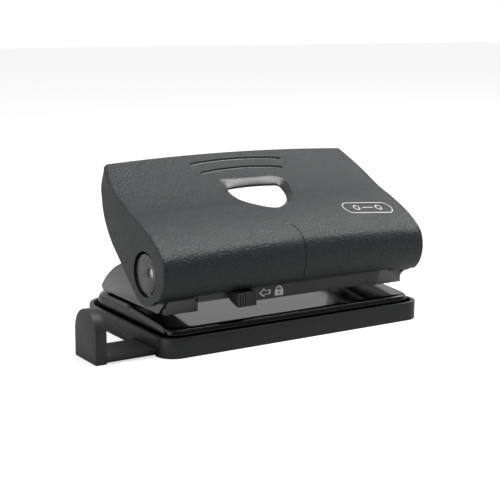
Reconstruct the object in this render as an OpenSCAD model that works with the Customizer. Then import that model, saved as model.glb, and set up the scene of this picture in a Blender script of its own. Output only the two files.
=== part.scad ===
// Two-hole desk punch: a pressed steel base and frame on a plastic confetti tray,
// with a curved plastic lever, two punch pins, a sliding lock and a paper guide.
// +X runs along the width, -Y is the paper side, +Z is up.
// The origin is the middle of the tray's underside.

/* [Base] */
// Width of the tray
base_w = 98; // [96:0.5:99]
// Depth of the tray
base_d = 60; // [59:0.5:62]
// Height of the tray's rim
tray_h = 6; // [5.8:0.1:6.2]
// Thickness of the tray's walls
tray_wall = 1.3; // [1.2:0.1:1.4]
// Radius of the tray's front corners
corner_r = 6; // [5:0.5:7]
// Radius of the tray's rear corners
rear_r = 12; // [10:0.5:13]
// Gap all round between the tray's rim and the base pan
rim_gap = 1.3; // [1.2:0.1:1.4]
// Height of the flat deck that the paper lies on
deck_z = 10.7; // [10.6:0.1:10.8]
// Thickness of the pressed steel sheet
sheet_t = 1; // [0.9:0.1:1.1]

/* [Punching] */
// Distance between the two holes
hole_pitch = 80; // [79:1:80]
// Diameter of the punched hole
hole_d = 6; // [5.4:0.1:6]
// Distance from the paper stop to the hole's centre
hole_margin = 12; // [11:0.5:12.5]
// Height of the slot for the paper
slot_h = 1; // [0.8:0.1:1.1]
// Running clearance round a pin or the rod
run_gap = 0.05; // [0.03:0.01:0.08]

/* [Lever] */
// Half width of the lever at its front
lever_half = 49.2; // [49:0.1:49.3]
// Thickness of the lever's shell
shell_t = 1.6; // [1.4:0.1:1.6]
// How much the shell is higher in the middle than at its sides
crown = 1.5; // [1.2:0.1:1.8]
// Diameter of the rod that the lever turns on
rod_d = 3; // [2.8:0.1:3.2]
// Diameter of the round disc in the lever's side
disc_d = 12.1; // [11.8:0.1:12.4]

/* [Lock] */
// Length of the lock's plate to the right of its knob
lock_len = 51.5; // [48:0.5:52]
// How far the lock slides to the left
lock_travel = 5; // [4:0.5:5]

/* [Paper guide] */
// Width of the guide's bar and of its end stop
guide_w = 14; // [13:0.5:14]
// How far the end stop stands out from the tray
guide_out = 19.7; // [16:0.1:22]
// Height of the end stop
guide_h = 15.5; // [14:0.5:17]

/* [Hidden] */
$fn = 64;
eps = 0.01;

charcoal = [0.22, 0.24, 0.25];
tray_black = [0.16, 0.17, 0.17];
gloss_black = [0.05, 0.05, 0.05];
satin_grey = [0.42, 0.42, 0.42];
bright_steel = [0.78, 0.78, 0.76];

// pan
pan_half_w = base_w / 2 - tray_wall - rim_gap;
pan_half_d = base_d / 2 - tray_wall - rim_gap;
pan_r = corner_r - tray_wall - rim_gap / 2;
pan_rear_r = rear_r - tray_wall - rim_gap / 2;
skirt_z = 3.8;
floor_t = 1.2;
bead_r = 0.8;
hinge_y = base_d / 2 - tray_wall;
hinge_z = tray_h - bead_r;
shoulder_r = 1.8;

// places across the depth, where -Y is the front
pin_x = hole_pitch / 2;
stop_y = 14.6;
pin_y = stop_y - hole_margin;
rod_y = -20.2;
rod_z = 24.5;
disc_y = -17.6;
disc_z = 23.7;
disc_hole_r = disc_d / 2 + 0.9;
rod_r = rod_d / 2;
pin_r = hole_d / 2;

// frame
plate_z = deck_z + slot_h;
cheek_x = 46;
cell_x = 34;
flange_y = -23.9;
guide_plate_z = 16.5;
top_plate_z = 19.5;
foot_end_y = 20.5;
foot_x = 43.8;
rivet_r = 1.3;

// pins and springs
tip_z = plate_z + 0.5;
head_r = 4;
head_top_z = 31;
head_t = 1.5;
spring_seat_z = guide_plate_z + sheet_t + 0.7;
spring_turns = 5;
wire_r = 0.35;
coil_r = 3.8;

// rocker
arm_x = cheek_x + 0.2;
arm_t = 0.8;
nose_r = 2.2;
nose_z = head_top_z + 0.3 + nose_r;

// lever profile
sweep_r = lever_half * lever_half / (2 * crown);
front_lip_z = 18;
groove_depth = 0.5;
taper_from_z = 44.5;

// guide
guide_y = -17.1;
stop_t = 3.7;
stop_x = -base_w / 2 - guide_out;
bar_end_x = 25;
lip_h = 0.7;
bar_low = 0.25;
bar_top = 2.25;
channel_gap = 0.2;
tunnel_top = 3.6;
tunnel_wall = 1.6;

// ---------- helpers ----------

// Points of a cubic curve with n spans
function bezier(a, b, c, d, n) =
    [for (i = [0 : n]) let (t = i / n, s = 1 - t)
        s * s * s * a + 3 * s * s * t * b + 3 * s * t * t * c + t * t * t * d];

// Points of an arc in degrees
function arc(centre, r, from, to, n) =
    [for (i = [0 : n]) let (q = from + (to - from) * i / n)
        centre + r * [cos(q), sin(q)]];

module box(low, high) {
    translate(low) cube(high - low);
}

// A 2D outline in (Y, Z) drawn out along X
module along_x(x1, x2) {
    translate([x1, 0, 0]) rotate([90, 0, 90]) linear_extrude(x2 - x1) children();
}

module rod_x(r, x1, x2, y, z) {
    translate([x1, y, z]) rotate([0, 90, 0]) cylinder(r = r, h = x2 - x1);
}

module post(r, z1, z2, x, y) {
    translate([x, y, z1]) cylinder(r = r, h = z2 - z1);
}

// A flat block with round corners, centred in X and Y. The rear corners have radius rr.
module rounded_block(half_w, half_d, r, rr, z1, z2) {
    translate([0, 0, z1]) linear_extrude(z2 - z1) {
        polygon([[-half_w, r - half_d], [r - half_w, -half_d], [half_w - r, -half_d],
                 [half_w, r - half_d], [half_w, half_d - rr], [half_w - rr, half_d],
                 [rr - half_w, half_d], [-half_w, half_d - rr]]);
        for (s = [-1, 1]) {
            translate([s * (half_w - r), r - half_d]) circle(r = r);
            translate([s * (half_w - rr), half_d - rr]) circle(r = rr);
        }
    }
}

module ring(r_in, r_out, z1, z2, x, y) {
    difference() {
        post(r_out, z1, z2, x, y);
        post(r_in, z1 - 1, z2 + 1, x, y);
    }
}

// ---------- confetti tray ----------

module guide_channel() {
    half = guide_w / 2;
    wide = half + channel_gap;
    narrow = wide - lip_h;
    far = base_w / 2 - tray_wall - 0.5;
    box([-base_w, guide_y - wide, lip_h], [far, guide_y + wide, bar_top + channel_gap]);
    box([-base_w, guide_y - narrow, -1], [far, guide_y + narrow, bar_top]);
}

module tray() {
    inner_w = base_w / 2 - tray_wall;
    inner_d = base_d / 2 - tray_wall;
    tunnel_half = guide_w / 2 + channel_gap + tunnel_wall;
    rest_z = skirt_z - 0.1;
    rest_x = inner_w - 1.8;
    color(tray_black) difference() {
        union() {
            difference() {
                rounded_block(base_w / 2, base_d / 2, corner_r, rear_r, 0, tray_h);
                rounded_block(inner_w, inner_d, corner_r - tray_wall, rear_r - tray_wall,
                              floor_t, tray_h + 1);
            }
            // tunnel over the paper guide
            box([-inner_w - eps, guide_y - tunnel_half, 0],
                [inner_w - 0.2, guide_y + tunnel_half, tunnel_top]);
            // rests for the base pan's skirt
            for (sx = [-1, 1])
                box([sx * rest_x - 1.8, 16, floor_t - eps], [sx * rest_x + 1.8, 22, rest_z]);
            // bead that the pan's rear edge turns on
            rod_x(bead_r, -35, 35, hinge_y, hinge_z);
        }
        guide_channel();
    }
}

// ---------- base pan ----------

// Side profile of the pan: a ramp at the front, a small step up to the deck,
// and a round drop at the rear. inset makes the hollow inside.
module pan_profile(inset) {
    front = -pan_half_d + inset;
    back = pan_half_d - inset;
    top = deck_z - inset;
    step_z = top - 0.7;
    lip_z = 8.2 - inset;
    bottom = inset > 0 ? skirt_z - 1 : skirt_z;
    polygon(concat(
        [[front, bottom]],
        arc([front + 1.6, lip_z - 1.6], 1.6, 180, 100, 4),
        [[-2, step_z], [-0.4, top]],
        arc([back - 4.5, top - 4.5], 4.5, 90, 0, 6),
        [[back, bottom]]));
}

// End profile of the pan with round shoulders, drawn out along Y
module pan_ends(inset) {
    half = pan_half_w - inset;
    top = deck_z + 1;
    shoulder_top = deck_z - inset;
    translate([0, pan_half_d + 1, 0]) rotate([90, 0, 0]) linear_extrude(2 * pan_half_d + 2)
        polygon(concat(
            [[-half, 0], [-half, shoulder_top - 4]],
            arc([-half + shoulder_r, shoulder_top - shoulder_r], shoulder_r, 180, 90, 4),
            arc([half - shoulder_r, shoulder_top - shoulder_r], shoulder_r, 90, 0, 4),
            [[half, shoulder_top - 4], [half, 0]]));
}

module pan_solid(inset) {
    intersection() {
        along_x(-pan_half_w, pan_half_w) pan_profile(inset);
        pan_ends(inset);
        rounded_block(pan_half_w - inset, pan_half_d - inset, pan_r - inset,
                      pan_rear_r - inset, 0, deck_z + 1);
    }
}

module base_pan() {
    color(gloss_black) difference() {
        pan_solid(0);
        pan_solid(sheet_t);
        for (s = [-1, 1])
            post(4, deck_z - 3, deck_z + 1, s * pin_x, pin_y);
        for (x = rivet_places)
            post(rivet_r + 0.05, deck_z - 3, deck_z + 1, x, rivet_y);
    }
}

module die(side) {
    x = side * pin_x;
    flange_z = deck_z - sheet_t - 0.8;
    color(bright_steel) difference() {
        union() {
            post(4, flange_z - eps, deck_z, x, pin_y);
            post(5.2, flange_z - 1.4, flange_z, x, pin_y);
        }
        post(pin_r + 0.06, deck_z - 4, deck_z + 1, x, pin_y);
    }
}

module die_left() die(-1);
module die_right() die(1);

// ---------- punch frame ----------

rivet_y = 18;
rivet_places = [-41.8, -37, 37, 41.8];

module cheek_outline() {
    difference() {
        polygon(concat(
            [[-19.9, plate_z], [-24.3, 16], [-24.3, 27]],
            [[-23, 29.2], [-12, 29.2]],
            bezier([-4, 25], [4, 23.2], [11, 20.6], [17.3, 13.6], 8),
            arc([16.3, plate_z + 1.5], 1.5, 0, -90, 5)));
        translate([rod_y, rod_z]) circle(r = rod_r + 0.02);
    }
}

module cheek(side) {
    x1 = side > 0 ? cheek_x - sheet_t : -cheek_x;
    along_x(x1, x1 + sheet_t) cheek_outline();
}

// Two plates that hold one pin, with the foot behind the paper stop
module pin_cell(side) {
    x1 = side > 0 ? cell_x : -cheek_x + sheet_t - eps;
    x2 = side > 0 ? cheek_x - sheet_t + eps : -cell_x;
    difference() {
        union() {
            box([x1, flange_y + sheet_t, plate_z], [x2, foot_end_y - 4, plate_z + sheet_t]);
            box([x1, stop_y, deck_z], [x2, foot_end_y - 4, plate_z + sheet_t]);
            box([side > 0 ? x1 : -foot_x, stop_y, deck_z],
                [side > 0 ? foot_x : x2, foot_end_y, plate_z + sheet_t]);
            box([x1, flange_y + sheet_t, guide_plate_z],
                [x2, pin_y + 6.5, guide_plate_z + sheet_t]);
            box([x1, flange_y + sheet_t, plate_z], [x2, flange_y + 2 * sheet_t, top_plate_z + sheet_t]);
        }
        post(pin_r + run_gap, deck_z, guide_plate_z - 1, side * pin_x, pin_y);
        post(4, guide_plate_z - 1, guide_plate_z + 3, side * pin_x, pin_y);
        for (x = rivet_places)
            post(rivet_r + 0.05, deck_z - 1, plate_z + 3, x, rivet_y);
    }
}

// Raised panel between the two cells, with slots for the lock's hooks
module front_panel() {
    bottom = 14.6;
    top = top_plate_z + sheet_t;
    difference() {
        translate([0, flange_y + sheet_t, 0]) rotate([90, 0, 0]) linear_extrude(sheet_t)
            polygon([[-34.6, bottom], [34.6, bottom], [34.6, bottom + 0.3],
                     [32.2, top], [-32.2, top], [-34.6, bottom + 0.3]]);
        for (x = hook_places)
            box([x - hook_w / 2 - lock_travel - 0.4, flange_y - 1, hook_z - 0.3],
                [x + hook_w / 2 + 0.4, flange_y + 2, hook_z + hook_h + 0.3]);
    }
    // joggle that ties the panel to the cells
    for (s = [-1, 1])
        box([s * 34 - 0.6, flange_y + eps, bottom + 0.6],
            [s * 34 + 0.6, flange_y + 2 * sheet_t, top - 1]);
}

module punch_frame() {
    color(satin_grey) {
        cheek(-1);
        cheek(1);
        pin_cell(-1);
        pin_cell(1);
        front_panel();
        box([-cell_x - 2, flange_y + eps, top_plate_z],
            [cell_x + 2, -12, top_plate_z + sheet_t]);
    }
}

module frame_rivets() {
    under = deck_z - sheet_t;
    over = plate_z + sheet_t;
    color(bright_steel) for (x = rivet_places) {
        post(rivet_r, under - 0.5, over + 0.5, x, rivet_y);
        post(1.9, under - 0.8, under, x, rivet_y);
        post(1.9, over, over + 0.8, x, rivet_y);
    }
}

module pin_guide(side) {
    x = side * pin_x;
    color(bright_steel) difference() {
        union() {
            post(4, guide_plate_z, guide_plate_z + sheet_t + eps, x, pin_y);
            post(4.8, guide_plate_z + sheet_t, spring_seat_z, x, pin_y);
        }
        post(pin_r + run_gap, guide_plate_z - 1, spring_seat_z + 1, x, pin_y);
    }
}

module pin_guide_left() pin_guide(-1);
module pin_guide_right() pin_guide(1);

// ---------- rod and its clips ----------

module axle_rod() {
    color(bright_steel) rod_x(rod_r, -48.4, 48.4, rod_y, rod_z);
}

module axle_clips() {
    clip_t = 0.6;
    color(bright_steel) for (s = [-1, 1])
        translate([s * 44.4 - clip_t / 2, 0, 0]) difference() {
            rod_x(3, 0, clip_t, rod_y, rod_z);
            rod_x(rod_r + 0.02, -1, clip_t + 1, rod_y, rod_z);
            box([-1, rod_y - 0.9, rod_z], [clip_t + 1, rod_y + 0.9, rod_z + 4]);
        }
}

// ---------- lever ----------

// The lever's top and front, from the rear top edge down to the front lip
function lever_top(n) = concat(
    bezier([13.7, 52.5], [9.2, 49.6], [-2.2, 42.3], [-10.6, 39.8], n),
    bezier([-11.4, 39.5], [-17, 37.2], [-22.3, 35.1], [-27, 31], n),
    bezier([-27.6, 30.4], [-29.9, 28.3], [-31, 20.6], [-26, 16.6], n));

// The lever's lower and rear edge, from the front lip round the disc and up
function lever_under() = concat(
    arc([disc_y, disc_z], 9.6, 229, 309, 8),
    [[-3.2, 23.6]],
    bezier([3.4, 29.3], [7.8, 34], [9.9, 38], [10.3, 42.7], 5),
    [[10.9, 45.5], [11.6, 48], [12.9, 51]]);

// Points moved inwards along the curve's normal
function inner_curve(p, t) =
    [for (i = [0 : len(p) - 1])
        let (a = p[max(0, i - 1)], b = p[min(len(p) - 1, i + 1)], d = (b - a) / norm(b - a))
            p[i] + t * [-d[1], d[0]]];

module lever_side_outline() {
    polygon(concat(lever_top(7), lever_under()));
}

// Everything deeper than t below the top and front
module lever_inside_outline(t) {
    inside = inner_curve(lever_top(7), t);
    front = inside[len(inside) - 1];
    polygon(concat([[30, inside[0][1]]], inside, [[front[0], 5], [30, 5]]));
}

// Sweeps an outline of (Y, Z) on a wide arc across X, so that its middle is higher
module swept_across() {
    translate([0, 0, crown - sweep_r]) rotate([90, 0, 0]) mirror([0, 0, 1])
        rotate_extrude($fn = 360) translate([sweep_r, 0]) mirror([1, -1]) children();
}

// Plan outline of the lever
module lever_plan(inset) {
    half = lever_half - inset;
    front = -31 + inset;
    r = 3;
    translate([0, 0, 5]) linear_extrude(60) polygon(concat(
        arc([half - r, front + r], r, -90, 0, 5), [[half, 17], [-half, 17]],
        arc([-half + r, front + r], r, 180, 270, 5)));
}

// Outline of the lever seen from the front, narrowing towards its top
module lever_width(inset) {
    half = lever_half - inset;
    side = bezier([half, taper_from_z], [half, 47.2], [half - 1.4, 49.8], [half - 3.6, 53.4], 6);
    left = [for (i = [len(side) - 1 : -1 : 0]) [-side[i][0], side[i][1]]];
    translate([0, 20, 0]) rotate([90, 0, 0]) linear_extrude(60) polygon(concat(
        [[half, 5]], side, [[half - 3.6, 60], [-half + 3.6, 60]], left, [[-half, 5]]));
}

module lever_solid() {
    intersection() {
        swept_across() lever_side_outline();
        lever_plan(0);
        lever_width(0);
    }
}

module lever_hollow() {
    intersection() {
        swept_across() lever_inside_outline(shell_t);
        lever_plan(shell_t);
        lever_width(shell_t);
    }
}

// Half-moon opening for a finger, straight at the rear and round at the front,
// with a bevel along its rear edge
module finger_opening() {
    half = 10.2;
    rear = -1.8;
    depth = 11.8;
    corner = 1.4;
    front_edge = [for (q = [10 : 10 : 170])
        [-half * sign(cos(q)) * pow(abs(cos(q)), 1.25), rear - depth * sin(q)]];
    translate([0, 0, 30]) linear_extrude(40) polygon(concat(
        front_edge,
        arc([half - corner, rear], corner, 0, 80, 3), [[0, rear + corner + 0.4]],
        arc([-half + corner, rear], corner, 100, 180, 3)));
    along_x(-half + 0.6, half - 0.6) polygon([[-1.2, 44.2], [2, 47.1], [2, 49], [-1.2, 49]]);
}

// One shallow arched groove across the top, its middle at y
module groove(y, half_len, sag) {
    half_wide = 0.45;
    steps = 12;
    xs = [for (i = [-steps : steps]) half_len * i / steps];
    back_edge = [for (x = xs) [x, y - sag * pow(x / half_len, 2) + half_wide]];
    front_edge = [for (i = [len(xs) - 1 : -1 : 0]) back_edge[i] - [0, 2 * half_wide]];
    translate([0, 0, 35]) linear_extrude(30) polygon(concat(back_edge, front_edge));
}

module grooves() {
    difference() {
        union() {
            groove(10.7, 17.9, 0.9);
            groove(6.8, 16.2, 1.1);
        }
        swept_across() lever_inside_outline(groove_depth);
    }
}

module lever_shell() {
    color(charcoal) difference() {
        lever_solid();
        lever_hollow();
        finger_opening();
        grooves();
        for (s = [-1, 1])
            rod_x(disc_hole_r, s * 48 - 3, s * 48 + 3, disc_y, disc_z);
        // the front wall ends above the lock, along the same wide arc as the top
        intersection() {
            swept_across() translate([-34, 5]) square([12, front_lip_z - 5]);
            box([shell_t - lever_half, -33, 5], [lever_half - shell_t, -23, 30]);
        }
    }
}

module pivot_disc(side) {
    inner = arm_x + arm_t;
    outer = lever_half - 0.45;
    x1 = side > 0 ? inner : -outer;
    x2 = side > 0 ? outer : -inner;
    color(satin_grey) difference() {
        rod_x(disc_d / 2, x1, x2, disc_y, disc_z);
        rod_x(rod_r + run_gap, x1 - 1, x2 + 1, rod_y, rod_z);
    }
}

module pivot_disc_left() pivot_disc(-1);
module pivot_disc_right() pivot_disc(1);

// Steel arm that turns on the rod and presses one pin down with its round nose
module rocker(side) {
    x1 = side > 0 ? arm_x : -arm_x - arm_t;
    nose_x1 = side > 0 ? pin_x - 3.5 : -arm_x - arm_t;
    nose_x2 = side > 0 ? arm_x + arm_t : -pin_x + 3.5;
    color(satin_grey) difference() {
        union() {
            along_x(x1, x1 + arm_t) {
                translate([disc_y, disc_z]) circle(r = 6.6);
                polygon([[-22, 28.6], [-14, 33.6], [-2, 38.2], [5, 38.6], [5.2, 33.2],
                         [-12, 19.8]]);
            }
            rod_x(nose_r, nose_x1, nose_x2, pin_y, nose_z);
            box([nose_x1, pin_y - nose_r, nose_z], [nose_x2, pin_y + nose_r, nose_z + 3]);
        }
        rod_x(rod_r + run_gap, -60, 60, rod_y, rod_z);
    }
}

module rocker_left() rocker(-1);
module rocker_right() rocker(1);

// ---------- punch pins ----------

module punch_pin(side) {
    x = side * pin_x;
    color(bright_steel) difference() {
        union() {
            post(pin_r, tip_z, head_top_z - head_t + eps, x, pin_y);
            post(head_r, head_top_z - head_t, head_top_z, x, pin_y);
        }
        // hollow ground cutting edge
        translate([x, pin_y, tip_z - 0.6]) cylinder(r1 = pin_r - 0.3, r2 = 0.4, h = 1.6);
    }
}

module punch_pin_left() punch_pin(-1);
module punch_pin_right() punch_pin(1);

// One helical spring, its wire swept as a single closed skin
module pin_spring(side) {
    low = spring_seat_z + wire_r;
    rise = head_top_z - head_t - wire_r - low;
    steps = 16;
    sides = 6;
    rings = spring_turns * steps;
    points = [for (i = [0 : rings], k = [0 : sides - 1])
        let (q = 360 * i / steps, w = 360 * k / sides, r = coil_r + wire_r * cos(w))
            [r * cos(q), r * sin(q), low + rise * i / rings + wire_r * sin(w)]];
    skin = [for (i = [0 : rings - 1], k = [0 : sides - 1])
        let (n = (k + 1) % sides)
            [i * sides + k, i * sides + n, (i + 1) * sides + n, (i + 1) * sides + k]];
    start = [[for (k = [sides - 1 : -1 : 0]) k]];
    finish = [[for (k = [0 : sides - 1]) rings * sides + k]];
    color(bright_steel) translate([side * pin_x, pin_y, 0])
        polyhedron(points, concat(skin, start, finish));
}

module pin_spring_left() pin_spring(-1);
module pin_spring_right() pin_spring(1);

// ---------- lock ----------

hook_places = [0, 24];
hook_w = 5;
hook_z = 16.2;
hook_h = 1.8;
plate_back_y = flange_y - 0.3;
plate_front_y = plate_back_y - 0.8;
knob_left_x = -23.6;
knob_right_x = -16.7;
knob_front_y = -29.3;
knob_bottom_z = 12.7;
knob_top_z = 17;
rib_count = 8;

module lock_knob() {
    pitch = (knob_right_x - knob_left_x) / rib_count;
    rib_depth = 0.35;
    along_x(knob_left_x, knob_right_x)
        polygon([[knob_front_y + rib_depth, knob_bottom_z], [knob_front_y + rib_depth, knob_top_z],
                 [plate_back_y, knob_top_z], [plate_back_y, 14.2]]);
    for (i = [0 : rib_count - 1])
        box([knob_left_x + (i + 0.2) * pitch, knob_front_y, knob_bottom_z],
            [knob_left_x + (i + 0.75) * pitch, knob_front_y + 1, knob_top_z]);
}

module lock_slider() {
    plate_top = 19.6;
    plate_bottom = 12.9;
    right = knob_right_x + lock_len;
    color(satin_grey * 0.7) {
        translate([0, plate_back_y, 0]) rotate([90, 0, 0])
            linear_extrude(plate_back_y - plate_front_y)
                polygon([[knob_right_x - eps, plate_bottom], [right - 1.6, plate_bottom],
                         [right + 0.8, plate_top], [knob_right_x - 0.5, plate_top],
                         [knob_right_x - 0.5, plate_bottom + 2]]);
        lock_knob();
        for (x = hook_places) {
            box([x - hook_w / 2, plate_back_y - eps, hook_z],
                [x + hook_w / 2, flange_y + sheet_t + 0.9, hook_z + hook_h]);
            box([x - hook_w / 2, flange_y + sheet_t + 0.3, hook_z - 0.9],
                [x + hook_w / 2, flange_y + sheet_t + 0.9, hook_z + hook_h + 0.9]);
        }
    }
}

// ---------- paper guide ----------

module paper_guide() {
    half = guide_w / 2;
    narrow = half - lip_h;
    color(charcoal) {
        along_x(stop_x, stop_x + stop_t) {
            translate([guide_y, guide_h - half]) circle(r = half);
            translate([guide_y - half, 0]) square([guide_w, guide_h - half]);
        }
        box([stop_x + stop_t - eps, guide_y - half, lip_h + bar_low],
            [bar_end_x, guide_y + half, bar_top]);
        box([stop_x + stop_t - eps, guide_y - narrow, bar_low],
            [bar_end_x, guide_y + narrow, lip_h + bar_low + eps]);
    }
}

tray();
base_pan();
die_left();
die_right();
punch_frame();
frame_rivets();
pin_guide_left();
pin_guide_right();
axle_rod();
axle_clips();
lever_shell();
pivot_disc_left();
pivot_disc_right();
rocker_left();
rocker_right();
punch_pin_left();
punch_pin_right();
pin_spring_left();
pin_spring_right();
lock_slider();
paper_guide();
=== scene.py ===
import math

import bmesh
import bpy
from mathutils import Matrix, Vector


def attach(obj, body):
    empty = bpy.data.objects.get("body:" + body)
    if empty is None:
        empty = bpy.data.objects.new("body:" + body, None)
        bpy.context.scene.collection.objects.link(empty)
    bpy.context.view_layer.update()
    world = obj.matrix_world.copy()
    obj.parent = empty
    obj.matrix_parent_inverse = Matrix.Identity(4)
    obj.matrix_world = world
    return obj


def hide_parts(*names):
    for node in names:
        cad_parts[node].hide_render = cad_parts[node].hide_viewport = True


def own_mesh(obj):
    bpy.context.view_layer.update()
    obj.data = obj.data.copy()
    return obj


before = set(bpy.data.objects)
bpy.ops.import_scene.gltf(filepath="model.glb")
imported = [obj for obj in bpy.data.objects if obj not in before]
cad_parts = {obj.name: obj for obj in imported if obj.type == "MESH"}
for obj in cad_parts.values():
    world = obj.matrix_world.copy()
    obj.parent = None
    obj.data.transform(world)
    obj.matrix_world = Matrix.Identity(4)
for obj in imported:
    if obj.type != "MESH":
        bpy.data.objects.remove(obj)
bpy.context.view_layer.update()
MM = 0.001


# ---------- curves in millimetres, as (y, z) pairs ----------


def bezier(a, b, c, d, spans):
    points = []
    for i in range(spans + 1):
        t = i / spans
        s = 1 - t
        w = (s * s * s, 3 * s * s * t, 3 * s * t * t, t * t * t)
        points.append(tuple(sum(k * p[n] for k, p in zip(w, (a, b, c, d))) for n in (0, 1)))
    return points


def arc(centre, radius, start, end, spans):
    turn = [math.radians(start + (end - start) * i / spans) for i in range(spans + 1)]
    return [(centre[0] + radius * math.cos(q), centre[1] + radius * math.sin(q)) for q in turn]


def resample(points, count):
    """The same line with count + 1 points, evenly spaced along it."""
    lengths = [0.0]
    for p, q in zip(points, points[1:]):
        lengths.append(lengths[-1] + math.dist(p, q))
    out, k = [], 0
    for i in range(count + 1):
        want = lengths[-1] * i / count
        while k < len(points) - 2 and lengths[k + 1] < want:
            k += 1
        t = (want - lengths[k]) / max(lengths[k + 1] - lengths[k], 1e-9)
        out.append(tuple(a + (b - a) * t for a, b in zip(points[k], points[k + 1])))
    return out


def moved_in(points, depth):
    """The line moved to its left by depth."""
    out = []
    for i, p in enumerate(points):
        a, b = points[max(0, i - 1)], points[min(len(points) - 1, i + 1)]
        length = math.dist(a, b) or 1.0
        out.append((p[0] - depth * (b[1] - a[1]) / length, p[1] + depth * (b[0] - a[0]) / length))
    return out


def between(x, x0, x1):
    """0 below x0, 1 above x1 and a smooth rise between."""
    t = min(1.0, max(0.0, (x - x0) / (x1 - x0)))
    return t * t * (3 - 2 * t)


# ---------- mesh helpers ----------


def new_object(name, data):
    obj = bpy.data.objects.new(name, data)
    bpy.context.scene.collection.objects.link(obj)
    return obj


def make_clean(mesh):
    """Joins points in the same place and turns all faces outwards."""
    bm = bmesh.new()
    bm.from_mesh(mesh)
    bmesh.ops.remove_doubles(bm, verts=bm.verts, dist=1e-7)
    bmesh.ops.recalc_face_normals(bm, faces=bm.faces)
    bm.to_mesh(mesh)
    bm.free()


def object_from(name, verts, faces):
    """An object from points in millimetres."""
    mesh = bpy.data.meshes.new(name)
    mesh.from_pydata([tuple(c * MM for c in v) for v in verts], [], faces)
    make_clean(mesh)
    return new_object(name, mesh)


def loft(name, loops):
    """A closed skin over loops with the same number of points."""
    n = len(loops[0])
    verts = [p for loop in loops for p in loop]
    faces = []
    for k in range(len(loops) - 1):
        for i in range(n):
            j = (i + 1) % n
            faces.append((k * n + i, k * n + j, (k + 1) * n + j, (k + 1) * n + i))
    faces.append(tuple(range(n - 1, -1, -1)))
    faces.append(tuple(range((len(loops) - 1) * n, len(loops) * n)))
    return object_from(name, verts, faces)


def drum(name, radius, low, high, centre, axis):
    """A round cutter along X or Z."""
    sides = 72
    loops = []
    for h in (low, high):
        ring = []
        for i in range(sides):
            q = 2 * math.pi * i / sides
            a, b = radius * math.cos(q), radius * math.sin(q)
            if axis == "x":
                ring.append((h, centre[0] + a, centre[1] + b))
            else:
                ring.append((centre[0] + a, centre[1] + b, h))
        loops.append(ring)
    return loft(name, loops)


def cut(obj, cutter, finish=None):
    """Takes cutter away from obj and deletes cutter. The cut faces can have their own finish."""
    mod = obj.modifiers.new("cut", "BOOLEAN")
    mod.operation = "DIFFERENCE"
    mod.solver = "EXACT"
    if finish:
        cutter.data.materials.append(finish)
        mod.material_mode = "TRANSFER"
    mod.object = cutter
    bake_modifiers(obj)
    bpy.data.objects.remove(cutter)


def bake_modifiers(obj):
    """Puts what the modifiers do into the object's own mesh."""
    bpy.context.view_layer.update()
    seen = obj.evaluated_get(bpy.context.evaluated_depsgraph_get())
    mesh = bpy.data.meshes.new_from_object(seen)
    obj.modifiers.clear()
    obj.data = mesh


def smooth(obj, degrees):
    """Smooth shading, with an edge kept sharp where it turns by more than degrees."""
    for face in obj.data.polygons:
        face.use_smooth = True
    obj.data.set_sharp_from_angle(angle=math.radians(degrees))


HARD_EDGE = math.radians(38)
FLAT_ENOUGH = math.radians(1)
SAME_POINT = 2e-6


def softened(node, name, width):
    """A copy of a CAD node's solid with its hard edges rounded."""
    mesh = bpy.data.meshes.new(name)
    bm = bmesh.new()
    bm.from_mesh(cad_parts[node].data)
    bmesh.ops.remove_doubles(bm, verts=bm.verts, dist=SAME_POINT)
    bmesh.ops.dissolve_limit(
        bm, angle_limit=FLAT_ENOUGH, verts=bm.verts, edges=bm.edges, delimit=set()
    )
    hard = [e for e in bm.edges if len(e.link_faces) == 2 and e.calc_face_angle(0) > HARD_EDGE]
    bmesh.ops.bevel(
        bm,
        geom=hard,
        offset=width * MM,
        segments=2,
        profile=0.5,
        affect="EDGES",
        clamp_overlap=True,
    )
    bm.to_mesh(mesh)
    bm.free()
    obj = new_object(name, mesh)
    smooth(obj, 30)
    return obj


# ---------- shader node groups ----------


def node_group(name, control, outputs):
    """An empty node group with one input, its scale, and some outputs."""
    tree = bpy.data.node_groups.new(name, "ShaderNodeTree")
    tree.interface.new_socket(control, in_out="INPUT", socket_type="NodeSocketFloat")
    for label in outputs:
        tree.interface.new_socket(label, in_out="OUTPUT", socket_type="NodeSocketFloat")
    return tree, tree.nodes.new("NodeGroupInput"), tree.nodes.new("NodeGroupOutput")


def noise(tree, place, scale, detail=3.0, rough=0.55):
    """Soft noise whose scale is a number or a socket."""
    node = tree.nodes.new("ShaderNodeTexNoise")
    node.inputs["Detail"].default_value = detail
    node.inputs["Roughness"].default_value = rough
    tree.links.new(place, node.inputs["Vector"])
    if isinstance(scale, (int, float)):
        node.inputs["Scale"].default_value = scale
    else:
        tree.links.new(scale, node.inputs["Scale"])
    return node.outputs["Fac"]


def maths(tree, kind, a, b):
    """One step of arithmetic on numbers or sockets."""
    node = tree.nodes.new("ShaderNodeMath")
    node.operation = kind
    for socket, value in zip(node.inputs, (a, b)):
        if isinstance(value, (int, float)):
            socket.default_value = value
        else:
            tree.links.new(value, socket)
    return node.outputs[0]


def spread(tree, value, low, high, to_low=0.0, to_high=1.0):
    """Takes low..high of a value to to_low..to_high."""
    node = tree.nodes.new("ShaderNodeMapRange")
    for socket, number in zip(list(node.inputs)[1:5], (low, high, to_low, to_high)):
        socket.default_value = number
    tree.links.new(value, node.inputs[0])
    return node.outputs[0]


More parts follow.
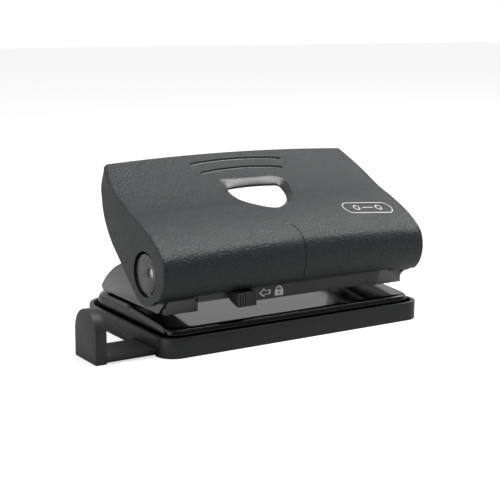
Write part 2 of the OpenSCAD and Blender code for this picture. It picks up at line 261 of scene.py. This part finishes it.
def moulded_grain_group():
    """Pebbled grain of a moulded plastic: its height and the light tops of the pebbles."""
    tree, inside, out = node_group("moulded_grain", "Pebbles per metre", ["Height", "Tops"])
    place = tree.nodes.new("ShaderNodeTexCoord").outputs["Object"]
    pebbles = tree.nodes.new("ShaderNodeTexVoronoi")
    pebbles.feature = "SMOOTH_F1"
    pebbles.inputs["Smoothness"].default_value = 0.6
    tree.links.new(place, pebbles.inputs["Vector"])
    tree.links.new(inside.outputs[0], pebbles.inputs["Scale"])
    fine = noise(tree, place, maths(tree, "MULTIPLY", inside.outputs[0], 1.7), 2.0)
    domes = maths(tree, "SUBTRACT", 1.0, pebbles.outputs["Distance"])
    coarse_part = maths(tree, "MULTIPLY", domes, 0.6)
    fine_part = maths(tree, "MULTIPLY", fine, 0.7)
    height = maths(tree, "ADD", coarse_part, fine_part)
    tree.links.new(height, out.inputs["Height"])
    tree.links.new(spread(tree, height, 0.62, 0.95), out.inputs["Tops"])
    return tree


def handling_group():
    """Broad uneven polish left by hands and dust: a slow mask and a fine one."""
    tree, inside, out = node_group("handling", "Patches per metre", ["Polish", "Dust"])
    place = tree.nodes.new("ShaderNodeTexCoord").outputs["Object"]
    slow = noise(tree, place, inside.outputs[0], 4.0, 0.6)
    specks = noise(tree, place, maths(tree, "MULTIPLY", inside.outputs[0], 60.0), 1.0)
    tree.links.new(spread(tree, slow, 0.3, 0.7), out.inputs["Polish"])
    tree.links.new(spread(tree, specks, 0.66, 0.8), out.inputs["Dust"])
    return tree


def rolled_sheet_group():
    """Fine streaks of rolled or drawn steel, long along X."""
    tree, inside, out = node_group("rolled_sheet", "Streaks per metre", ["Height", "Streak"])
    place = tree.nodes.new("ShaderNodeTexCoord").outputs["Object"]
    stretch = tree.nodes.new("ShaderNodeVectorMath")
    stretch.operation = "MULTIPLY"
    stretch.inputs[1].default_value = (0.35, 0.06, 1.0)
    tree.links.new(place, stretch.inputs[0])
    lines = noise(tree, stretch.outputs[0], inside.outputs[0], 3.0, 0.7)
    pits = noise(tree, place, maths(tree, "MULTIPLY", inside.outputs[0], 0.8), 2.0)
    streak_part = maths(tree, "MULTIPLY", lines, 0.6)
    pit_part = maths(tree, "MULTIPLY", pits, 0.4)
    tree.links.new(maths(tree, "ADD", streak_part, pit_part), out.inputs["Height"])
    tree.links.new(spread(tree, lines, 0.35, 0.65), out.inputs["Streak"])
    return tree


GRAIN = moulded_grain_group()
HANDLING = handling_group()
ROLLED = rolled_sheet_group()


def colour_mix(tree, first, second, share):
    """A blend of two colours. The first may be a socket."""
    node = tree.nodes.new("ShaderNodeMix")
    node.data_type = "RGBA"
    if isinstance(first, bpy.types.NodeSocket):
        tree.links.new(first, node.inputs["A"])
    else:
        node.inputs["A"].default_value = (*first, 1)
    node.inputs["B"].default_value = (*second, 1)
    tree.links.new(share, node.inputs["Factor"])
    return node.outputs["Result"]


PATCHES_PER_METRE = 45.0


def placed(tree, group, value):
    """A node group in a material, at its scale."""
    node = tree.nodes.new("ShaderNodeGroup")
    node.node_tree = group
    node.inputs[0].default_value = value
    return node


def material(
    name, dark, light, rough, surface, scale, bump, metallic=0.0, coat=0.0, coat_rough=0.05, dust=0.15
):
    """A finish whose colour and roughness vary with its surface group and with handling. bump is
    its strength and its height in millimetres."""
    mat = bpy.data.materials.new(name)
    mat.use_nodes = True
    tree = mat.node_tree
    shader = tree.nodes["Principled BSDF"]
    skin = placed(tree, surface, scale)
    hands = placed(tree, HANDLING, PATCHES_PER_METRE)
    tint = colour_mix(tree, dark, light, skin.outputs[1])
    dust_colour = [min(1.0, c * 1.6 + 0.03) for c in light]
    dusty = colour_mix(tree, tint, dust_colour, maths(tree, "MULTIPLY", hands.outputs["Dust"], dust))
    tree.links.new(dusty, shader.inputs["Base Color"])
    uneven = spread(tree, hands.outputs["Polish"], 0.0, 1.0, rough[0], rough[1])
    tree.links.new(uneven, shader.inputs["Roughness"])
    relief = tree.nodes.new("ShaderNodeBump")
    relief.inputs["Strength"].default_value = bump[0]
    relief.inputs["Distance"].default_value = bump[1] * MM
    tree.links.new(skin.outputs["Height"], relief.inputs["Height"])
    tree.links.new(relief.outputs["Normal"], shader.inputs["Normal"])
    shader.inputs["Metallic"].default_value = metallic
    shader.inputs["Coat Weight"].default_value = coat
    shader.inputs["Coat Roughness"].default_value = coat_rough
    return mat


leather_black = material(
    "lever_grained_charcoal", (0.009, 0.0115, 0.013), (0.02, 0.0235, 0.0255), (0.3, 0.4),
    GRAIN, 1700.0, (0.8, 0.3))
# Cut faces of the finger opening, grooves and front line. Their finer grain and lower roughness
# belong to the plastic. Their dark tone is lighter than the cover's as a painted highlight for the
# opening's bright rim and bevel.
lever_cut_faces_painted_highlight = material(
    "lever_plain_recess_painted_highlight", (0.014, 0.015, 0.0155), (0.02, 0.021, 0.022), (0.24, 0.34),
    GRAIN, 2600.0, (0.1, 0.06))
gloss_black = material(
    "pan_gloss_enamel", (0.0022, 0.0022, 0.0024), (0.0045, 0.0045, 0.0045), (0.08, 0.15),
    GRAIN, 500.0, (0.04, 0.1), dust=0.03)
tray_black = material(
    "tray_fine_matt", (0.009, 0.0105, 0.01), (0.016, 0.018, 0.0175), (0.36, 0.48),
    GRAIN, 2600.0, (0.2, 0.1))
guide_black = material(
    "guide_matt_charcoal", (0.02, 0.021, 0.022), (0.034, 0.035, 0.036), (0.42, 0.56),
    GRAIN, 2300.0, (0.25, 0.12))
lock_grey = material(
    "lock_satin_grey", (0.03, 0.03, 0.03), (0.038, 0.038, 0.038), (0.36, 0.48),
    GRAIN, 2600.0, (0.12, 0.08))
frame_grey = material(
    "frame_satin_paint", (0.006, 0.006, 0.0058), (0.012, 0.012, 0.0115), (0.26, 0.36),
    ROLLED, 2600.0, (0.12, 0.06), coat=1.0, coat_rough=0.28, dust=0.04)
disc_grey = material(
    "cap_satin_moulding", (0.024, 0.0235, 0.023), (0.036, 0.035, 0.034), (0.3, 0.4),
    GRAIN, 2400.0, (0.12, 0.08), coat=0.8, coat_rough=0.3, dust=0.04)
steel = material(
    "turned_bright_steel", (0.62, 0.61, 0.59), (0.78, 0.77, 0.75), (0.2, 0.34),
    ROLLED, 2600.0, (0.12, 0.05), metallic=1.0, dust=0.05)
spring_wire = material(
    "spring_wire_steel", (0.42, 0.41, 0.4), (0.6, 0.59, 0.57), (0.25, 0.38),
    ROLLED, 4200.0, (0.2, 0.05), metallic=1.0, dust=0.05)
print_white = material(
    "printed_pale_ink", (0.66, 0.66, 0.64), (0.76, 0.76, 0.74), (0.5, 0.6),
    GRAIN, 2600.0, (0.1, 0.05))


def dress(obj, mat, body, *nodes, slot=None):
    """Gives a piece its finish, the body that it rides on and the CAD nodes it stands for."""
    if not obj.data.materials:
        obj.data.materials.append(mat)
    obj.data.materials[0] = mat
    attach(obj, body)
    if nodes:
        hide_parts(*nodes)
    return obj


# ---------- lever ----------

LEVER_HALF = 49.2
LEVER_EDGE_R = 0.8
CROWN = 1.5
CROWN_FADES = (15.0, 31.0)
SHELL = 1.6
TAPER_FROM = 44.5
DISC = (-17.6, 23.7)
DISC_HOLE_R = 6.95
LIP_HALF = 37.5
LIP_Z = 17.6
WALL_REAR_Y = -25.7
FLOOR_Z = 5.0

LEVER_TOP = (
    bezier((13.7, 52.5), (9.2, 49.6), (-2.2, 42.3), (-10.6, 39.8), 24)
    + bezier((-11.4, 39.5), (-17, 37.2), (-22.3, 35.1), (-27, 31), 20)
    + bezier((-27.6, 30.4), (-29.9, 28.3), (-31, 20.6), (-26, 16.6), 22)
)
LEVER_UNDER = (
    arc(DISC, 9.6, 229, 309, 18)
    + [(-3.2, 23.6)]
    + bezier((3.4, 29.3), (7.8, 34), (9.9, 38), (10.3, 42.7), 12)
    + [(10.9, 45.5), (11.6, 48), (12.9, 51)]
)
WIDTH_CURVE = bezier(
    (LEVER_HALF, TAPER_FROM),
    (LEVER_HALF, 47.2),
    (LEVER_HALF - 1.4, 49.8),
    (LEVER_HALF - 3.6, 53.4),
    16,
)


def lever_half(z):
    """Half of the lever's width at a height."""
    if z <= TAPER_FROM:
        return LEVER_HALF
    for (x0, z0), (x1, z1) in zip(WIDTH_CURVE, WIDTH_CURVE[1:]):
        if z <= z1:
            return x0 + (x1 - x0) * (z - z0) / (z1 - z0)
    return WIDTH_CURVE[-1][0]


def crowned(x, z=CROWN_FADES[1]):
    """Rise of the crown across the width. It dies out towards the level front lip."""
    return CROWN * (1 - (x / LEVER_HALF) ** 2) * between(z, *CROWN_FADES)


def lever_skin(name, top, under, inset, edge, across, deep):
    """A closed body between the lever's top line and its lower line. The long edges between its
    top and its two sides have the radius edge. It has across spans over the top and deep spans
    down each side."""
    rounds = 5
    n = len(top)
    tucked = moved_in(top, edge)
    turns = [math.radians(90 * k / rounds) for k in range(rounds + 1)] if edge else [0.0]
    verts, rows = [], []

    def add(x, y, z):
        verts.append((x, y, z + crowned(x, z)))
        return len(verts) - 1

    def rounded_edge(i, flat, side, steps):
        """The edge's points, from the side's top to the flat or back."""
        line = []
        for q in steps:
            t = 1 - math.cos(q)
            y, z = (a + (b - a) * t for a, b in zip(top[i], tucked[i]))
            line.append(add(side * (flat + edge * math.sin(q)), y, z))
        return line

    for i in range(n):
        flat = lever_half(top[i][1]) - inset - edge
        row = rounded_edge(i, flat, -1, reversed(turns))
        row += [add(flat * (2 * k / across - 1), *top[i]) for k in range(1, across)]
        rows.append(row + rounded_edge(i, flat, 1, turns))

    def side_grid(side):
        grid = []
        for i in range(n):
            start = tucked[i] if edge else top[i]
            line = [rows[i][0 if side < 0 else -1]]
            for k in range(1, deep + 1):
                y, z = (a + (b - a) * k / deep for a, b in zip(start, under[i]))
                line.append(add(side * (lever_half(z) - inset), y, z))
            grid.append(line)
        return grid

    left, right = side_grid(-1), side_grid(1)
    faces = []
    for i in range(n - 1):
        for a, b, c, d in zip(rows[i], rows[i][1:], rows[i + 1][1:], rows[i + 1]):
            faces.append((a, b, c, d))
        for grid in (left, right):
            g, h = grid[i], grid[i + 1]
            for k in range(deep):
                faces.append((g[k], g[k + 1], h[k + 1], h[k]))
        faces.append((left[i][-1], left[i + 1][-1], right[i + 1][-1], right[i][-1]))
    for i in (0, n - 1):
        faces.append(tuple(rows[i]) + tuple(right[i][1:]) + tuple(reversed(left[i][1:])))
    return object_from(name, verts, faces)


def top_height(x, y):
    """Height of the lever's top surface over a place, rear of its front bulge."""
    for (y1, z1), (y0, z0) in zip(LEVER_TOP, LEVER_TOP[1:]):
        if y0 <= y <= y1 and z0 < z1:
            return z0 + (z1 - z0) * (y - y0) / max(y1 - y0, 1e-9) + crowned(x)
    rear_slope = 0.64
    return LEVER_TOP[0][1] + (y - LEVER_TOP[0][0]) * rear_slope + crowned(x)


def opening_outline():
    """Half-moon outline of the finger opening as (x, y)."""
    half, rear, depth, corner = 10.2, -1.8, 11.8, 1.4
    fullness, rear_bow, spans = 1.25, 0.4, 44
    flat = half - corner
    points = []
    for k in range(spans + 1):
        q = math.radians(4 + 172 * k / spans)
        c = math.cos(q)
        points.append((-half * math.copysign(abs(c) ** fullness, c), rear - depth * math.sin(q)))
    points += arc((flat, rear), corner, 0, 85, 6)
    points += [(x, rear + corner + rear_bow * (1 - (x / flat) ** 2)) for x in (6, 3, 0, -3, -6)]
    points += arc((-flat, rear), corner, 95, 180, 6)
    return points


def finger_cutter():
    """Cuts the opening with a dished rim round it and a wide bevel along its rear edge."""
    outline = opening_outline()
    n = len(outline)
    outward = []
    for i, p in enumerate(outline):
        a, b = outline[i - 1], outline[(i + 1) % n]
        length = math.dist(a, b)
        outward.append(((b[1] - a[1]) / length, -(b[0] - a[0]) / length))

    def ring(reach, drop):
        """A loop at a share of the rim's width, some way under the top surface."""
        loop = []
        for (x, y), (nx, ny) in zip(outline, outward):
            rim = 1.5 + 0.9 * between(y, -6, 0.5) + 0.5 * between(abs(x), 4, 9)
            px, py = x + nx * rim * reach, y + ny * rim * reach
            loop.append((px, py, top_height(px, py) - drop))
        return loop

    under_lever, over_lever = 22.0, 70.0
    loops = [[(x, y, under_lever) for x, y in outline]]
    loops += [ring(0, 1.25), ring(0.12, 0.98), ring(0.75, 0.3), ring(1.0, 0.02), ring(1.04, -0.12)]
    loops.append([(x, y, over_lever) for x, y, _ in loops[-1]])
    return loft("finger_cutter", loops)


def groove_cutter(middle, half_len, sag):
    """An arched groove with round ends that follows the top surface."""
    half_wide, end_len, spans = 0.5, 0.4, 40
    loops = []
    for k in range(spans + 1):
        x = half_len * (2 * k / spans - 1)
        y = middle - sag * (x / half_len) ** 2
        past = max(0.0, (abs(x) - half_len + end_len) / end_len)
        wide = half_wide * math.sqrt(max(0.02, 1 - past**2))
        section = ((-wide, -0.75), (0, -0.85), (wide, -0.6), (wide, 1.5), (-wide, 1.5))
        loops.append([(x, y + a, top_height(x, y + a) + h) for a, h in section])
    return loft("groove_cutter", loops)


def front_line_cutter():
    """A hair line down the middle of the front, with a small hook at its top."""
    top_end, spans, depth, clear = (-23.4, 33.6), 40, 0.22, 0.8
    start = min(range(len(LEVER_TOP)), key=lambda i: math.dist(LEVER_TOP[i], top_end))
    line = resample(LEVER_TOP[start:-4], spans)
    deep = moved_in(line, depth)
    proud = moved_in(line, -clear)
    loops = []
    for i in range(spans + 1):
        x = 1.2 - 1.5 * (1 - min(1.0, i / 9)) ** 2
        wide = 0.2 + 0.2 * (1 - min(1.0, i / 7))
        lift = crowned(x, line[i][1])
        section = ((-wide, proud), (-wide * 0.6, deep), (wide * 0.6, deep), (wide, proud))
        loops.append([(x + a, path[i][0], path[i][1] + lift) for a, path in section])
    return loft("front_line_cutter", loops)


def lip_cutter(half, y0, y1, top):
    """A level cut across the lower front of the lever."""
    spans = 32
    stations = [half * (2 * k / spans - 1) for k in range(spans + 1)]
    loops = [[(x, y0, FLOOR_Z), (x, y0, top), (x, y1, top), (x, y1, FLOOR_Z)] for x in stations]
    return loft("lip_cutter", loops)


def build_lever():
    """The lever's cover: a hollow skin with its disc holes, front lip, opening and grooves."""
    under = resample(list(reversed(LEVER_UNDER)), len(LEVER_TOP) - 1)
    shell = lever_skin("lever_cover", LEVER_TOP, under, 0.0, LEVER_EDGE_R, 56, 14)
    inside = moved_in(LEVER_TOP, SHELL)
    inside.append((inside[-1][0], FLOOR_Z))
    rear = [(30.0, z) for _, z in inside]
    cut(shell, lever_skin("lever_hollow_cutter", inside, rear, SHELL, 0.0, 12, 3))
    for low, high in ((-51.0, -45.0), (45.0, 51.0)):
        cut(shell, drum("disc_cutter", DISC_HOLE_R, low, high, DISC, "x"))
    cut(shell, lip_cutter(LIP_HALF, -34, -23, LIP_Z))
    cut(shell, lip_cutter(LEVER_HALF - SHELL + 0.03, WALL_REAR_Y, -22.5, 20.5))
    # The opening's rim and bevel take the cut-face material, whose lighter tone is painted highlight.
    cut(shell, finger_cutter(), lever_cut_faces_painted_highlight)
    cut(shell, groove_cutter(10.7, 17.9, 0.9), lever_cut_faces_painted_highlight)
    cut(shell, groove_cutter(6.8, 16.2, 1.1), lever_cut_faces_painted_highlight)
    cut(shell, front_line_cutter(), lever_cut_faces_painted_highlight)
    smooth(shell, 30)
    return shell


INK = 0.03


def flat_print(name, rings, place):
    """Thin printed shapes. Each ring pair is an outer and an inner line of (u, v) points, and
    place puts a point on its surface."""
    verts, faces = [], []
    for outer, inner in rings:
        base, n = len(verts), len(outer)
        verts += [place(u, v) for u, v in outer + inner]
        for i in range(n):
            j = (i + 1) % n
            faces.append((base + i, base + j, base + n + j, base + n + i))
    return object_from(name, verts, faces)


def pill(half_len, half_wide, centre, steps=12):
    """A long loop with round ends."""
    x, y = centre
    flat = half_len - half_wide
    right = arc((x + flat, y), half_wide, -90, 90, steps)
    return dense(right + arc((x - flat, y), half_wide, 90, 270, steps))


def ring_line(radius, centre):
    """A round loop."""
    steps = 28
    return arc(centre, radius, 0, 360 * (1 - 1 / steps), steps - 1)


def lever_badge():
    """Plain oval frame with two ring marks for the two holes, on the lever's top right."""
    centre, ring_gap, tilt, tilt_from = (33.6, -18.6), 4.4, -0.05, 33.5

    def on_top(u, v):
        y = v + tilt * (u - tilt_from)
        return (u, y, top_height(u, y) + INK)

    rings = [(pill(9.7, 2.75, centre), pill(9.35, 2.4, centre))]
    for side in (-1, 1):
        hole = (centre[0] + side * ring_gap, centre[1])
        rings.append((ring_line(1.25, hole), ring_line(0.85, hole)))
    rings.append((pill(2.2, 0.2, centre, 4), pill(2.1, 0.02, centre, 4)))
    return flat_print("lever_badge_print", rings, on_top)


def dense(loop):
    """Adds points along a closed line's long straight spans, so it can follow a curved face."""
    longest = 0.8
    out = []
    for p, q in zip(loop, loop[1:] + loop[:1]):
        parts = max(1, int(abs(p[0] - q[0]) / longest))
        out += [tuple(a + (b - a) * k / parts for a, b in zip(p, q)) for k in range(parts)]
    return out


dress(build_lever(), leather_black, "lever", "lever_shell", slot="grained_plastic")
dress(lever_badge(), print_white, "lever", slot="grained_plastic")


# ---------- pressed steel base pan ----------

PAN_W, PAN_D = 46.4, 27.4
PAN_FRONT_R, PAN_REAR_R = 4.05, 10.05
PAN_BOTTOM = 3.8
PAN_SHEET = 1.0
RAMP_START = (-25.8, 8.2)
RAMP_END = (-2.0, 10.0)
STEP_FROM, STEP_TO = -2.3, -0.1
DECK_Z = 10.7
PIN_X, PIN_Y = 40.0, 2.6
DIE_NECK_R = 4.0


def pan_corner(y):
    return PAN_FRONT_R if y < 0 else PAN_REAR_R


def pan_width(y):
    """Half width of the pan's outline at a depth."""
    r = pan_corner(y)
    over = abs(y) - (PAN_D - r)
    return PAN_W if over <= 0 else PAN_W - r + math.sqrt(max(0.0, r * r - over * over))


def pan_edge_distance(x, y):
    """How far a place lies inside the pan's outline."""
    r = pan_corner(y)
    ax, ay = abs(x) - (PAN_W - r), abs(y) - (PAN_D - r)
    if ax > 0 and ay > 0:
        return r - math.hypot(ax, ay)
    return r - max(ax, ay)


def pan_height(x, y):
    """Ramp at the front, soft step up to the deck, and edges that grow rounder to the rear."""
    slope = (RAMP_END[1] - RAMP_START[1]) / (RAMP_END[0] - RAMP_START[0])
    ramp = RAMP_START[1] + slope * (y - RAMP_START[0])
    rise = between(y, STEP_FROM, STEP_TO)
    base = ramp * (1 - rise) + DECK_Z * rise
    radius = 1.7 + 2.8 * between(y, 16, 26)
    d = max(0.0, min(radius, pan_edge_distance(x, y)))
    return base - radius + math.sqrt(max(0.0, radius * radius - (radius - d) ** 2))


def edge_steps(limit, radius, count):
    """Places from limit inwards over radius, closest together at the limit."""
    turns = [math.radians(90 * k / count) for k in range(count + 1)]
    return [limit - radius * (1 - math.cos(q)) for q in turns]


def pan_stations():
    """Depths of the pan's rows, close together at the edges and at the step."""
    ys = [-v for v in edge_steps(PAN_D, 1.8, 8)]
    ys += [-25, -24, -22.5, -20, -17, -14, -11, -8, -6, -4.5, -3.5]
    ys += [-2.9 + 0.2 * k for k in range(16)]
    ys += [1.2, 3, 5, 8, 11, 14, 16, 17.5, 19, 20.5]
    return ys + list(reversed(edge_steps(PAN_D, 5.5, 14)))


def pan_row(y):
    """Places across the pan at a depth, from right to left."""
    spans = 22
    width = pan_width(y)
    reach = 2.0 + 3.4 * between(y, 14, 24)
    right = [width - reach * (1 - s) for s in edge_steps(1.0, 1.0, 10)]
    right += [right[-1] * (1 - k / spans) for k in range(1, spans)]
    return right + [0.0] + [-x for x in reversed(right)]


def build_pan():
    """The pan: one skin with a skirt all round, thickened to a sheet and bored for the dies."""
    verts, rows = [], []
    for y in pan_stations():
        rows.append(len(verts))
        verts += [(x, y, pan_height(x, y)) for x in pan_row(y)]
    wide = rows[1]
    faces = []
    for a, b in zip(rows, rows[1:]):
        for i in range(wide - 1):
            faces.append((a + i, a + i + 1, b + i + 1, b + i))
    rim = [rows[0] + i for i in range(wide)]
    rim += [r + wide - 1 for r in rows[1:]]
    rim += [rows[-1] + i for i in range(wide - 2, -1, -1)]
    rim += list(reversed(rows[1:-1]))
    skirt = len(verts)
    verts += [(verts[i][0], verts[i][1], PAN_BOTTOM) for i in rim]
    n = len(rim)
    for i in range(n):
        j = (i + 1) % n
        faces.append((rim[i], rim[j], skirt + j, skirt + i))
    pan = object_from("base_pan_enamelled", verts, faces)
    thick = pan.modifiers.new("sheet", "SOLIDIFY")
    thick.thickness = PAN_SHEET * MM
    thick.offset = -1
    thick.use_even_offset = True
    bake_modifiers(pan)
    make_clean(pan.data)
    for side in (-1, 1):
        cut(pan, drum("die_hole_cutter", DIE_NECK_R, 7.0, 13.0, (side * PIN_X, PIN_Y), "z"))
    smooth(pan, 35)
    return pan


dress(build_pan(), gloss_black, "chassis", "base_pan", slot="gloss_enamel")


# ---------- pieces that keep the CAD's solid, with their edges eased ----------

EASED = [
    ("tray", "confetti_tray_moulded", 0.25, tray_black, "tray", "tray_plastic"),
    ("punch_frame", "punch_frame_pressed", 0.16, frame_grey, "chassis", "satin_grey_metal"),
    ("frame_rivets", "frame_rivet_heads", 0.3, steel, "chassis", "bright_steel"),
    ("die_left", "die_bush_left", 0.12, steel, "chassis", "bright_steel"),
    ("die_right", "die_bush_right", 0.12, steel, "chassis", "bright_steel"),
    ("pin_guide_left", "pin_guide_bush_left", 0.12, steel, "chassis", "bright_steel"),
    ("pin_guide_right", "pin_guide_bush_right", 0.12, steel, "chassis", "bright_steel"),
    ("axle_rod", "axle_rod_turned", 0.25, steel, "chassis", "bright_steel"),
    ("axle_clips", "axle_spring_clips", 0.1, steel, "chassis", "bright_steel"),
    ("pivot_disc_left", "pivot_cap_left", 0.25, disc_grey, "lever", "satin_grey_metal"),
    ("pivot_disc_right", "pivot_cap_right", 0.25, disc_grey, "lever", "satin_grey_metal"),
    ("rocker_left", "rocker_arm_left", 0.15, frame_grey, "lever", "satin_grey_metal"),
    ("rocker_right", "rocker_arm_right", 0.15, frame_grey, "lever", "satin_grey_metal"),
    ("punch_pin_left", "punch_pin_ground_left", 0.15, steel, "punch_left", "bright_steel"),
    ("punch_pin_right", "punch_pin_ground_right", 0.15, steel, "punch_right", "bright_steel"),
    ("lock_slider", "lock_slider_moulded", 0.12, lock_grey, "lock", "lock_plastic"),
    ("paper_guide", "paper_guide_moulded", 0.5, guide_black, "guide", "guide_plastic"),
]
for node, name, width, mat, body, slot_name in EASED:
    dress(softened(node, name, width), mat, body, node, slot=slot_name)


# ---------- springs ----------


SPRING_LOW, SPRING_HIGH = 18.2, 29.5
SPRING_R, WIRE_R = 3.8, 0.35
SPRING_TURNS = 5.6


def coil_rise(t):
    """Share of the spring's height at a share of its wire, with both ends wound flat."""
    ends = between(t, 0.0, 0.16) * 0.5 + between(t, 0.84, 1.0) * 0.5
    return 0.16 * ends + 0.84 * min(1.0, max(0.0, (t - 0.08) / 0.84))


def build_spring(side, side_name):
    """A closed-end compression spring on one punch pin."""
    x0 = side * PIN_X
    around = [2 * math.pi * k / 10 for k in range(10)]
    spans = int(SPRING_TURNS * 40)
    loops = []
    for i in range(spans + 1):
        t = i / spans
        q = 2 * math.pi * SPRING_TURNS * t
        z = SPRING_LOW + WIRE_R + (SPRING_HIGH - SPRING_LOW - 2 * WIRE_R) * coil_rise(t)
        loop = []
        for w in around:
            reach = SPRING_R + WIRE_R * math.cos(w)
            turned = (x0 + reach * math.cos(q), PIN_Y + reach * math.sin(q))
            loop.append((*turned, z + WIRE_R * math.sin(w)))
        loops.append(loop)
    spring = loft("pin_spring_coil_" + side_name, loops)
    smooth(spring, 60)
    dress(spring, spring_wire, "punch_" + side_name, "pin_spring_" + side_name, slot="spring_steel")
    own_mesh(spring)


build_spring(-1, "left")
build_spring(1, "right")


# ---------- marks on the lock ----------


PLATE_FRONT_Y = -25.0


def block(x0, x1, z0, z1):
    return [(x0, z0), (x1, z0), (x1, z1), (x0, z1)]


def lock_marks():
    """An outlined arrow to the left and a small padlock sign, printed on the lock's plate."""
    tip, middle = -13.4, 15.1
    head_len, head_half, shaft_end, shaft_half = 2.1, 1.5, 4.4, 0.7
    steps = [(0, 0), (head_len, head_half), (head_len, shaft_half), (shaft_end, shaft_half)]
    steps += [(a, -b) for a, b in reversed(steps[1:])]
    arrow = [(tip + a, middle + b) for a, b in steps]
    core = tip + 2.5
    arrow_inside = [(core + (x - core) * 0.72, middle + (z - middle) * 0.62) for x, z in arrow]
    case = block(tip + 6.0, tip + 9.2, middle - 1.5, middle + 0.35)
    keyhole = block(tip + 7.35, tip + 7.85, middle - 0.95, middle - 0.25)
    bow_at = (tip + 7.6, middle + 0.35)
    bow, bow_inside = (arc(bow_at, radius, 0, 180, 14) for radius in (1.25, 0.8))
    rings = [(arrow, arrow_inside), (case, keyhole), (bow, bow_inside)]
    return flat_print("lock_marks_print", rings, lambda u, v: (u, PLATE_FRONT_Y - INK, v))


dress(lock_marks(), print_white, "lock", slot="lock_plastic")


# ---------- stage ----------


def studio_paper():
    """Pale paper that looks lighter to the camera than what it sends up to the punch."""
    mat = bpy.data.materials.new("studio_paper")
    mat.use_nodes = True
    tree = mat.node_tree
    shader = tree.nodes["Principled BSDF"]
    place = tree.nodes.new("ShaderNodeTexCoord").outputs["Object"]
    grey, darker, glow = 0.5, 0.985, 0.66
    tint = colour_mix(tree, [grey * darker] * 3, [grey] * 3, noise(tree, place, 300.0, 2.0))
    tree.links.new(tint, shader.inputs["Base Color"])
    sight = tree.nodes.new("ShaderNodeLightPath").outputs["Is Camera Ray"]
    lit = colour_mix(tree, [0.0] * 3, [glow] * 3, sight)
    tree.links.new(lit, shader.inputs["Emission Color"])
    shader.inputs["Emission Strength"].default_value = 1.0
    shader.inputs["Roughness"].default_value = 0.8
    shader.inputs["Specular IOR Level"].default_value = 0.0
    return mat


def build_floor():
    """A wide flat floor just under the tray."""
    size, n, z = 4000.0, 8, -0.02
    marks = [size * (i / n - 0.5) for i in range(n + 1)]
    verts = [(x, y, z) for y in marks for x in marks]
    faces = []
    for j in range(n):
        for i in range(n):
            a = j * (n + 1) + i
            faces.append((a, a + 1, a + n + 2, a + n + 1))
    floor = object_from("studio_floor", verts, faces)
    floor.data.materials.append(studio_paper())


def studio_world():
    """A white room that is dimmer overhead and darker low in front."""
    world = bpy.data.worlds.new("studio")
    bpy.context.scene.world = world
    world.use_nodes = True
    tree = world.node_tree
    back = tree.nodes["Background"]
    place = tree.nodes.new("ShaderNodeTexCoord").outputs["Generated"]
    axes = tree.nodes.new("ShaderNodeSeparateXYZ")
    tree.links.new(place, axes.inputs[0])
    up = spread(tree, axes.outputs["Z"], 0.25, 0.8, 1.0, 0.55)
    front = spread(tree, axes.outputs["Y"], -0.8, -0.05, 0.1, 1.0)
    level = maths(tree, "MULTIPLY", up, front)
    tree.links.new(level, back.inputs["Strength"])
    back.inputs["Color"].default_value = (1, 1, 1, 1)


def soft_light(name, place, size, power, aim=(0, 0, 0.02)):
    """A rectangular lamp that faces a point."""
    lamp = bpy.data.lights.new(name, "AREA")
    lamp.shape = "RECTANGLE"
    lamp.size, lamp.size_y = size
    lamp.energy = power
    obj = new_object(name, lamp)
    obj.location = place
    obj.rotation_euler = (Vector(aim) - Vector(place)).to_track_quat("-Z", "Y").to_euler()


VIEW_YAW, VIEW_PITCH, VIEW_ROLL = -33.27, 11.32, 0.67
VIEW_TARGET = Vector((0, 0, 0.025))
VIEW_DISTANCE = 0.406
VIEW_LENS = 88.63
VIEW_SHIFT = (-0.00218, -0.01222)


def build_camera():
    """A long lens from the front left, a little above the punch."""
    yaw, pitch, roll = (math.radians(v) for v in (VIEW_YAW, VIEW_PITCH, VIEW_ROLL))
    level = math.cos(pitch)
    back = Vector((math.sin(yaw) * level, -math.cos(yaw) * level, math.sin(pitch)))
    across = Vector((0, 0, 1)).cross(back).normalized()
    up = back.cross(across)
    right = across * math.cos(roll) + up * math.sin(roll)
    upright = up * math.cos(roll) - across * math.sin(roll)
    lens = bpy.data.cameras.new("view")
    cam = new_object("view", lens)
    stand = Matrix((right, upright, back)).transposed().to_4x4()
    stand.translation = VIEW_TARGET + back * VIEW_DISTANCE
    cam.matrix_world = stand
    lens.sensor_width = 36
    lens.lens = VIEW_LENS
    lens.shift_x, lens.shift_y = VIEW_SHIFT
    lens.clip_start = 0.01
    bpy.context.scene.camera = cam


build_floor()
studio_world()
soft_light("overhead_strip", (0.3, -0.08, 0.5), (0.9, 0.08), 3.6, (0.3, 0.02, 0.02))
soft_light("left_fill", (-0.7, -0.1, 0.12), (0.6, 0.5), 1.1)
build_camera()
bpy.context.scene.view_settings.view_transform = "Standard"
